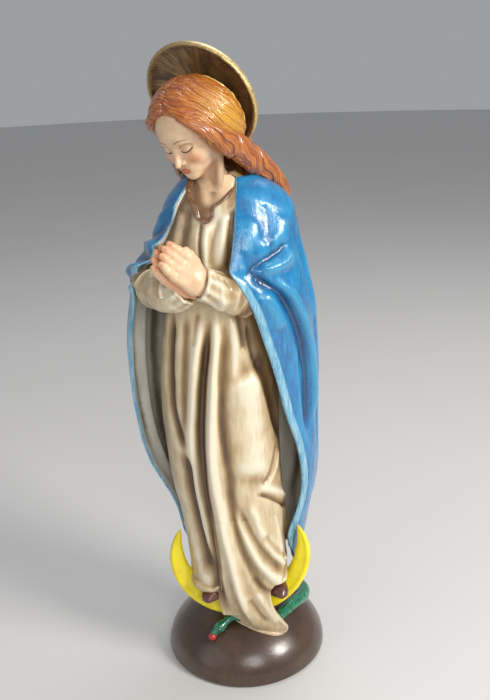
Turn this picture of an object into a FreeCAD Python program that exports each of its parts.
"""Madonna statue: a carved and painted figure on a crescent moon, over a serpent, on a half-globe base.

Millimetres, +Z up, -Y the front of the base, the figure's left hand towards +X. The saved parts have
their origin at the centre of the felt that rests on the shelf. Heights in this file count from the
globe's widest ring instead, and save() lifts every part by EQUATOR_Z.
"""
import FreeCAD
import Part
import math
import os
from FreeCAD import Vector, Placement, Rotation

# ---------------------------------------------------------------- driving dimensions
EQUATOR_Z = 3.5                     # widest ring of the globe above the shelf
FELT_T = 1.5                        # felt under the base
BASE_R = 83.4                       # radius of the globe at its widest ring
BASE_H = 54.5                       # rise of the globe over that ring
BASE_POWER = 1.85                   # 2 would be a true half ellipse
RECESS_R, RECESS_H = 15.0, 12.0     # pocket under the base that hides the nut
ROD_R, ROD_TOP = 4.0, 170.0         # threaded rod that ties the figure to the base
RECESS_TOP = RECESS_H - EQUATOR_Z   # ceiling of that pocket
WASHER_R, WASHER_T = 12.0, 1.6
NUT_R, NUT_T = 7.5, 5.0             # half width across the corners, and thickness
PEG_R = 3.0                         # glued pegs and pins
GLUE_GAP = 0.1                      # room round a glued peg

MOON_X, MOON_Y, MOON_Z = -3.0, -29.0, 121.5    # centre of the crescent's outer circle
MOON_R = 73.2
MOON_WIDE, MOON_DEEP = 25.0, 18.0   # section at the bottom of the crescent
MOON_TIP = 117.0                    # horn tip, degrees up from the bottom

WAIST_Z = 392.0
MANTLE_T = 5.0

HEAD = Vector(-28, -17, 544)        # centre of the head
HEAD_YAW, HEAD_PITCH, HEAD_ROLL = 36.0, 30.0, 7.0    # turned to its right, bowed, tilted
HEAD_W, HEAD_D, HEAD_H = 28.5, 34.0, 37.0            # half width, half depth, half height
SKULL_H = HEAD_H * 0.86             # half height of the skull without the jaw
HAIR_T = 8.0

HALO = Vector(-20.3, 8.0, 566.0)
HALO_YAW, HALO_PITCH = 30.5, 27.0
HALO_R, HALO_RIM, HALO_T, HALO_DISH = 54.6, 6.5, 3.0, 7.0

WRIST = Vector(-30, -58, 420)       # where the joined hands leave the cuffs
HAND_YAW, HAND_RISE = 53.0, 45.0    # the joined hands point up and to the figure's right
HAND_L = 54.0

OUT = "parts"

# height, centre x, centre y, half width, depth to the front, depth to the back
SKIRT = [
    (47, 2, -2, 40, 26, 34),
    (62, 2, -4, 43, 34, 38),
    (83, 1, -7, 46, 40, 44),
    (116, -4, -8, 49, 44, 46),
    (146, -6, -9, 52, 46, 50),
    (175, -9, -9, 54, 47, 54),
    (205, -13, -10, 56, 48, 58),
    (241, -15, -10, 57, 46, 62),
    (277, -16, -9, 58, 44, 65),
    (312, -16, -9, 57, 43, 66),
    (350, -15, -8, 54, 40, 64),
    (WAIST_Z, -14, -6, 48, 36, 58),
]
SKIRT_FOLDS, SKIRT_FOLD_DEPTH = 9, 2.6
FOLD_DRIFT = 110.0                  # drop over which the folds wander round by one radian

BODICE_TURN = -12.0
BODICE = [
    (WAIST_Z, -14, -6, 46, 35, 54),
    (415, -18, -6, 49, 36, 54),
    (440, -14, -5, 54, 36, 46),
    (462, -8, -4, 55, 33, 42),
    (480, -6, -3, 47, 28, 36),
    (494, -8, -3, 32, 22, 24),
    (503, -10, -5, 20, 17, 17),
]

# centre, half width and half depth of the drape that falls over the moon on to the globe
TRAIN = [
    ((-5, -34, 150), 30, 15),
    ((0, -41, 122), 32, 15),
    ((5, -46, 97), 32, 14),
    ((12, -50, 76), 29, 12),
    ((21, -53, 58), 23, 9),
    ((32, -52, 46), 14, 6),
    ((42, -47, 37), 6, 4),
]

# centre and radius
LEFT_SLEEVE = [
    ((46, -2, 394), 17), ((34, -20, 392), 18), ((20, -33, 394), 18),
    ((5, -44, 401), 16), ((-8, -52, 408), 14.5), ((-21, -57, 415.5), 12.5),
]
RIGHT_SLEEVE = [
    ((-80, -6, 410), 15), ((-70, -26, 405), 17), ((-58, -42, 403), 17),
    ((-47, -50, 407), 15), ((-38, -55, 414), 12.5),
]
LEFT_TRESS = [
    ((-6, -34, 545), 9), ((0, -27, 533), 11), ((8, -15, 524), 13),
    ((21, -2, 515), 13), ((35, 10, 506), 12), ((46, 22, 497), 10),
    ((50, 34, 483), 9), ((49, 43, 464), 7), ((46, 49, 446), 5),
]
RIGHT_TRESS = [
    ((-56, -34, 562), 7), ((-62, -28, 548), 9), ((-60, -18, 534), 10),
    ((-53, -6, 522), 11), ((-44, 6, 511), 11), ((-36, 18, 499), 11),
    ((-30, 30, 484), 10), ((-26, 41, 465), 8), ((-24, 48, 447), 5),
]
BACK_HAIR = [
    ((-12, 14, 548), 24), ((-6, 20, 530), 25), ((0, 26, 512), 26), ((4, 32, 494), 26),
    ((6, 40, 476), 23), ((6, 47, 457), 18), ((6, 52, 438), 11), ((6, 54, 424), 5),
]
SERPENT = [
    ((-31, -50, 41), 3.6), ((-24, -46, 47.5), 4.0), ((-15, -42, 52), 4.2), ((-5, -44, 54), 4.5),
    ((8, -46, 53), 5.0), ((21, -46, 50), 5.5), ((32, -40, 48), 6.0), ((42, -27, 48), 6.5),
    ((53, -12, 47), 7.0), ((61, 2, 43.5), 7.2), ((64, 17, 41), 6.8), ((60, 32, 39.5), 6.0),
    ((49, 45, 38), 5.2), ((34, 54, 37), 4.2), ((17, 59, 36), 3.0), ((2, 60, 36), 1.8),
]
APPLE, APPLE_R = Vector(-34.5, -53, 38), 4.2
COLLAR_R = 2.4
COLLAR = [
    (-13, 13, 508), (-21, 9, 507), (-29, -2, 504), (-33, -16, 498), (-32, -29, 488),
    (-28, -36, 478), (-22, -39, 469), (-15, -38, 472), (-6, -33, 480), (2, -25, 488),
    (7, -15, 495), (8, -3, 501), (3, 8, 505), (-7, 13, 508),
]

# height, centre x, centre y, half width, half depth,
# then the front edge on the figure's right and on its left in degrees from +X
MANTLE = [
    (98, 1, 6, 58, 42, 176, -40),
    (125, 1, 6, 64, 46, 178, -44),
    (156, 2, 6, 69, 50, 181, -39),
    (181, 0, 6, 76, 54, 184, -37),
    (210, -5, 6, 84, 57, 187, -38),
    (240, -9, 6, 88, 59, 190, -43),
    (271, -11, 6, 90, 60, 193, -49),
    (318, -12, 6, 92, 61, 196, -60),
    (357, -12, 4, 90, 63, 197, -67),
    (392, -11, 2, 85, 63, 198, -75),
    (415, -12, 1, 81, 61, 199, -82),
    (438, -6, 1, 70, 54, 206, -84),
    (460, -1, 1, 63, 45, 212, -83),
    (478, -1, 2, 57, 37, 216, -80),
    (492, -3, 3, 45, 30, 218, -76),
    (502, -6, 5, 31, 23, 218, -70),
]

# width across the hand and reach along it, from the forefinger to the little finger
FINGERS = [(9.6, 0.93), (3.4, 1.0), (-3.0, 0.95), (-9.0, 0.80)]


# ---------------------------------------------------------------- helpers
def save(name, shape):
    """Lifts one sub-part into the frame of the shelf and writes it."""
    made = shape.copy()
    made.translate(Vector(0, 0, EQUATOR_Z))
    made.exportStep(os.path.join(OUT, name + ".step"))
    print("%-18s %2d solids %9.0f mm3" % (name, len(made.Solids), made.Volume))


def facing(yaw, pitch, roll=0.0):
    """Rotation that turns local -Y (front) and +Z (up) to a yawed, bowed and tilted direction."""
    turn = Rotation(Vector(0, 0, 1), -yaw)
    bow = Rotation(Vector(1, 0, 0), pitch)
    tilt = Rotation(Vector(0, 1, 0), -roll)
    return turn.multiply(bow).multiply(tilt)


def placed(shape, rotation, position):
    made = shape.copy()
    made.Placement = Placement(position, rotation)
    return made


def largest_solid(shape):
    """The one real piece of a cut shape, without the slivers that a cut can leave."""
    return max(shape.Solids, key=lambda solid: solid.Volume)


def closed_curve(points):
    curve = Part.BSplineCurve()
    curve.interpolate(Points=points, PeriodicFlag=True)
    return Part.Wire([curve.toShape()])


def open_curve(points):
    curve = Part.BSplineCurve()
    curve.interpolate(Points=points)
    return curve.toShape()


def loft(wires):
    return Part.makeLoft(wires, True, False)


def oval_ring(centre, side, out, half_side, half_out, steps=16):
    ring = []
    for k in range(steps):
        a = 2 * math.pi * k / steps
        ring.append(centre + side * (half_side * math.cos(a)) + out * (half_out * math.sin(a)))
    return closed_curve(ring)


def limb(rows, squash=1.0, flat_axis=Vector(0, 0, 1)):
    """Rounded limb through rows of centre and radius, flatter by squash along flat_axis."""
    centres = [Vector(*c) for c, r in rows]
    wires = []
    for i, (c, (_, r)) in enumerate(zip(centres, rows)):
        along = (centres[min(i + 1, len(rows) - 1)] - centres[max(i - 1, 0)]).normalize()
        flat = flat_axis - along * flat_axis.dot(along)
        flat.normalize()
        wires.append(oval_ring(c, along.cross(flat), flat, r, r * squash))
    return loft(wires)


def ellipsoid(rx, ry, rz):
    scale = FreeCAD.Matrix()
    scale.scale(rx, ry, rz)
    return Part.makeSphere(1.0).transformGeometry(scale)


def capsule(start, end, r_start, r_end):
    """A finger bone: a cone with a ball at each end."""
    along = end - start
    cone = Part.makeCone(r_start, r_end, along.Length, start, along)
    return cone.fuse([Part.makeSphere(r_start, start), Part.makeSphere(r_end, end)])


def peg(start, end, r=PEG_R):
    return Part.makeCylinder(r, (end - start).Length, start, end - start)


# ---------------------------------------------------------------- base
def globe_height(r):
    return BASE_H * (1 - (r / BASE_R) ** BASE_POWER) ** (1 / BASE_POWER)


def make_base_dome():
    foot = FELT_T - EQUATOR_Z
    steps = 12
    outline = []
    for i in range(steps + 1):
        a = math.pi / 2 * i / steps
        r = BASE_R * math.cos(a) ** (2 / BASE_POWER)
        outline.append(Vector(r, 0, globe_height(r)))
    wire = Part.Wire([
        Part.makeLine(Vector(0, 0, foot), Vector(BASE_R, 0, foot)),
        Part.makeLine(Vector(BASE_R, 0, foot), outline[0]),
        open_curve(outline),
        Part.makeLine(outline[-1], Vector(0, 0, foot)),
    ])
    dome = Part.Face(wire).revolve(Vector(0, 0, 0), Vector(0, 0, 1), 360)
    recess = Part.makeCylinder(RECESS_R, RECESS_H - FELT_T, Vector(0, 0, foot))
    return dome.cut(recess)


def make_felt():
    bottom = Vector(0, 0, -EQUATOR_Z)
    return Part.makeCylinder(BASE_R - 2, FELT_T, bottom).cut(Part.makeCylinder(RECESS_R, FELT_T, bottom))


def make_rod(r=ROD_R):
    start = 4.0 - EQUATOR_Z
    return Part.makeCylinder(r, ROD_TOP - start, Vector(0, 0, start))


def make_washer():
    bottom = Vector(0, 0, RECESS_TOP - WASHER_T)
    return Part.makeCylinder(WASHER_R, WASHER_T, bottom).cut(make_rod(ROD_R + GLUE_GAP))


def make_nut():
    corners = []
    for k in range(7):
        a = math.radians(60 * k)
        corners.append(Vector(NUT_R * math.cos(a), NUT_R * math.sin(a), RECESS_TOP - WASHER_T - NUT_T))
    prism = Part.Face(Part.makePolygon(corners)).extrude(Vector(0, 0, NUT_T))
    return prism.cut(make_rod())


# ---------------------------------------------------------------- moon, serpent, shoes
def make_moon():
    """Crescent with an oval section that thins towards both horns."""
    steps = 7
    wires = []
    for i in range(-steps, steps + 1):
        share = i / steps
        a = math.radians(MOON_TIP * share)
        wide = MOON_WIDE * max(0.06, (1 - abs(share) ** 2.2) ** 0.8)
        deep = MOON_DEEP * max(0.1, (1 - abs(share) ** 3) ** 0.6)
        out = Vector(math.sin(a), 0, -math.cos(a))
        centre = Vector(MOON_X, MOON_Y, MOON_Z) + out * (MOON_R - wide / 2)
        wires.append(oval_ring(centre, out, Vector(0, 1, 0), wide / 2, deep / 2, 12))
    return loft(wires)


def make_serpent():
    return limb(SERPENT)


def make_shoe(x, toe_x, z):
    rows = [
        ((x, -14, z + 5), 7),
        ((x, -28, z + 4), 9),
        (((x + toe_x) / 2, -40, z + 1), 8.5),
        ((toe_x, -49, z - 1), 4),
    ]
    return limb(rows, 0.75)


# ---------------------------------------------------------------- robe
def robe_ring(row, folds=0, depth=0.0, phase=0.0, steps=36, turn=0.0):
    z, cx, cy, half_width, front, back = row
    spin = Rotation(Vector(0, 0, 1), turn)
    ring = []
    for k in range(steps):
        a = 2 * math.pi * k / steps
        reach = front if math.sin(a) < 0 else back
        grow = 1 + depth / half_width * math.cos(folds * a + phase)
        local = Vector(half_width * grow * math.cos(a), reach * grow * math.sin(a), 0)
        ring.append(Vector(cx, cy, z) + spin.multVec(local))
    return closed_curve(ring)


def make_skirt():
    rings = []
    for row in SKIRT:
        rings.append(robe_ring(row, SKIRT_FOLDS, SKIRT_FOLD_DEPTH, (WAIST_Z - row[0]) / FOLD_DRIFT))
    return loft(rings)


def make_train():
    across = Vector(1, 0.12, -0.25).normalize()
    out = Vector(0, -1, 0.55).normalize()
    return loft([oval_ring(Vector(*c), across, out, w, d) for c, w, d in TRAIN])


def make_bodice():
    return loft([robe_ring(row, 0, 0.0, 0.0, 24, BODICE_TURN) for row in BODICE])


def make_collar():
    """Round cord that edges the neckline, lowest at the front. Its ends meet at the nape."""
    return limb([(p, COLLAR_R) for p in COLLAR], 1.0, Vector(0, -0.6, 0.8))


def make_sleeve(rows):
    return limb(rows, 0.95)


# ---------------------------------------------------------------- hands
def hand_axes():
    """Along the fingers, across them towards the thumb, and out of the back of the left hand."""
    yaw, rise = math.radians(HAND_YAW), math.radians(HAND_RISE)
    ahead = Vector(-math.sin(yaw), -math.cos(yaw), 0)
    left = Vector(math.cos(yaw), -math.sin(yaw), 0)
    fingers = ahead * math.cos(rise) + Vector(0, 0, math.sin(rise))
    return fingers, fingers.cross(left), left


def make_hand(side):
    """side +1 is the figure's left hand, -1 the right. The palms meet on the plane between them."""
    fingers, across, left = hand_axes()

    def at(along, over, out):
        return WRIST + fingers * (along * HAND_L) + across * over + left * (side * out)

    pieces = [capsule(at(-0.22, 0, 6.5), at(0.12, 0, 6.0), 7.8, 7.4)]
    for over, reach in FINGERS:
        middle = at(0.50 + 0.27 * reach, over * 0.95, 3.9)
        pieces.append(capsule(at(0.06, over * 0.62, 5.5), at(0.50, over, 4.7), 5.6, 4.5))
        pieces.append(capsule(at(0.50, over, 4.5), middle, 4.2, 3.7))
        pieces.append(capsule(middle, at(0.50 + 0.47 * reach, over * 0.82, 3.4), 3.7, 3.0))
    pieces.append(capsule(at(0.12, 9, 5.0), at(0.38, 14, 4.6), 5.2, 4.0))
    pieces.append(capsule(at(0.38, 14, 4.6), at(0.58, 15.5, 4.0), 4.0, 3.1))
    hand = pieces[0].fuse(pieces[1:])
    reach = 2 * HAND_L
    half = Part.makeBox(2 * reach, 2 * reach, reach, Vector(-reach, -reach, 0))
    keep = placed(half, Rotation(Vector(0, 0, 1), left * side), WRIST)
    return largest_solid(hand.common(keep))


# ---------------------------------------------------------------- head, hair and halo
def on_head(x, y, z, turn):
    return HEAD + turn.multVec(Vector(x, y, z))


def make_head(turn):
    """An egg-shaped skull, a chin and a plain nose, on a neck that runs down into the bodice."""
    skull = placed(ellipsoid(HEAD_W, HEAD_D, SKULL_H), turn, on_head(0, 2, 5, turn))
    jaw = placed(ellipsoid(HEAD_W * 0.72, HEAD_D * 0.72, HEAD_H * 0.62), turn, on_head(0, -9, -13, turn))
    nose = capsule(on_head(0, -31, 1, turn), on_head(0, -35, -9, turn), 2.4, 3.2)
    nape = on_head(0, 6, -10, turn)
    neck = limb([((-10, -6, 472), 17), ((-12, -8, 496), 13.5), ((-18, -8, 514), 13), (tuple(nape), 14)])
    return largest_solid(skull.fuse([jaw, nose, neck]))


def make_hair_crown(turn):
    """Cap of hair over the crown and the back of the head, open round the face."""
    over = ellipsoid(HEAD_W + HAIR_T, HEAD_D + HAIR_T, SKULL_H + HAIR_T)
    cap = placed(over, turn, on_head(0, 3, 5, turn))
    opening = Part.makeBox(54, 60, 90, Vector(-27, -60, -90))
    slope = turn.multiply(Rotation(Vector(1, 0, 0), -24))
    return cap.cut(placed(opening, slope, on_head(0, -10, 17, turn)))


def make_lock(rows):
    return limb(rows, 0.8, Vector(1, -0.5, 0))


def make_halo():
    """Turned dish with a thick rim, open to the front, on the halo's own axis."""
    outline = [
        Vector(0, HALO_DISH, 0),
        Vector(HALO_R - HALO_RIM - 9, HALO_DISH - 1.5, 0),
        Vector(HALO_R - HALO_RIM, 0, 0),
        Vector(HALO_R - 1, -1.5, 0),
        Vector(HALO_R, 0, 0),
        Vector(HALO_R, HALO_T, 0),
        Vector(HALO_R - 8, HALO_DISH + HALO_T - 2, 0),
        Vector(0, HALO_DISH + HALO_T, 0),
        Vector(0, HALO_DISH, 0),
    ]
    dish = Part.Face(Part.makePolygon(outline)).revolve(Vector(0, 0, 0), Vector(0, 1, 0), 360)
    return placed(dish, facing(HALO_YAW, HALO_PITCH), HALO)


# ---------------------------------------------------------------- mantle
def mantle_wire(row):
    """C-shaped section: out round the back, a short edge, and back inside."""
    z, cx, cy, half_width, half_depth, right, left = row

    def at(angle, inset):
        t = math.radians(angle)
        return Vector(cx + (half_width - inset) * math.cos(t), cy + (half_depth - inset) * math.sin(t), z)

    steps = 20
    angles = [left + (right - left) * i / steps for i in range(steps + 1)]
    outer = [at(t, 0) for t in angles]
    inner = [at(t, MANTLE_T) for t in reversed(angles)]
    return Part.Wire([
        open_curve(outer),
        Part.makeLine(outer[-1], inner[0]),
        open_curve(inner),
        Part.makeLine(inner[-1], outer[0]),
    ])


def make_mantle():
    return loft([mantle_wire(row) for row in MANTLE])


# ---------------------------------------------------------------- pegs
def make_pegs():
    fingers, across, left = hand_axes()
    along_halo = facing(HALO_YAW, HALO_PITCH).multVec(Vector(0, 1, 0))
    pin_start = HALO + along_halo * (HALO_DISH - 22)
    pin_end = HALO + along_halo * (HALO_DISH + HALO_T - 1)
    pegs = {
        "neck_peg": peg(Vector(-9, -6, 462), Vector(-10, -8, 500), 4.0),
        "halo_pin": peg(pin_start, pin_end, 2.0),
        "moon_peg_left": peg(Vector(28, MOON_Y, 78), Vector(28, -6, 78)),
        "moon_peg_right": peg(Vector(-30, MOON_Y, 80), Vector(-30, -6, 80)),
    }
    for name, side in (("wrist_peg_left", 1), ("wrist_peg_right", -1)):
        start = WRIST + left * (side * 6.0)
        pegs[name] = peg(start - fingers * 22, start + fingers * 8, 2.0)
    return pegs


# ---------------------------------------------------------------- assembly
def main():
    os.makedirs(OUT, exist_ok=True)
    turn = facing(HEAD_YAW, HEAD_PITCH, HEAD_ROLL)
    pegs = make_pegs()
    rod_hole = make_rod(ROD_R + GLUE_GAP)

    moon_pegs = [pegs["moon_peg_left"], pegs["moon_peg_right"]]
    wrist_pegs = [pegs["wrist_peg_left"], pegs["wrist_peg_right"]]

    dome = make_base_dome().cut(rod_hole)
    moon = largest_solid(make_moon().cut([dome] + moon_pegs))
    shoes = {
        "shoe_left": largest_solid(make_shoe(32, 37, 86).cut([moon, pegs["moon_peg_left"]])),
        "shoe_right": largest_solid(make_shoe(-30, -36, 84).cut([moon, pegs["moon_peg_right"]])),
    }
    serpent = largest_solid(make_serpent().cut([dome, moon]))
    under_skirt = [dome, moon, serpent, rod_hole] + list(shoes.values()) + moon_pegs
    skirt = largest_solid(make_skirt().cut(under_skirt))
    train = largest_solid(make_train().cut([dome, moon, serpent, skirt] + list(shoes.values())))
    head = largest_solid(make_head(turn).cut([pegs["neck_peg"], pegs["halo_pin"]]))
    collar = largest_solid(make_collar().cut(head))
    mantle = largest_solid(make_mantle().cut([dome, moon, skirt, collar]))
    bodice = largest_solid(make_bodice().cut([mantle, head, collar, pegs["neck_peg"]]))

    hands = {}
    sleeves = {}
    for side, name in ((1, "left"), (-1, "right")):
        hands[name] = largest_solid(make_hand(side).cut(pegs["wrist_peg_" + name]))
    for name, rows in (("left", LEFT_SLEEVE), ("right", RIGHT_SLEEVE)):
        others = [bodice, skirt, mantle] + list(hands.values()) + wrist_pegs
        sleeves[name] = largest_solid(make_sleeve(rows).cut(others))
    sleeves["right"] = largest_solid(sleeves["right"].cut(sleeves["left"]))

    crown = largest_solid(make_hair_crown(turn).cut([head, pegs["halo_pin"]]))
    under_hair = [head, crown, mantle, bodice, collar]
    back_hair = largest_solid(limb(BACK_HAIR, 0.5, Vector(0, 1, 0)).cut(under_hair))
    under_locks = under_hair + [back_hair]
    tress_left = largest_solid(make_lock(LEFT_TRESS).cut(under_locks))
    tress_right = largest_solid(make_lock(RIGHT_TRESS).cut(under_locks))
    behind_head = [crown, back_hair, tress_left, tress_right, head, pegs["halo_pin"]]
    halo = largest_solid(make_halo().cut(behind_head))

    save("base_felt", make_felt())
    save("base_dome", dome)
    save("centre_rod", make_rod())
    save("rod_washer", make_washer())
    save("rod_nut", make_nut())
    save("crescent_moon", moon)
    save("serpent", serpent)
    save("serpent_apple", Part.makeSphere(APPLE_R, APPLE).cut([dome, serpent]))
    save("robe_skirt", skirt)
    save("robe_train", train)
    save("robe_bodice", bodice)
    save("collar", collar)
    save("mantle", mantle)
    save("head", head)
    save("hair_crown", crown)
    save("hair_back", back_hair)
    save("tress_left", tress_left)
    save("tress_right", tress_right)
    save("halo", halo)
    for name in ("left", "right"):
        save("sleeve_" + name, sleeves[name])
        save("hand_" + name, hands[name])
    for name, shape in list(shoes.items()) + list(pegs.items()):
        save(name, shape)


main()
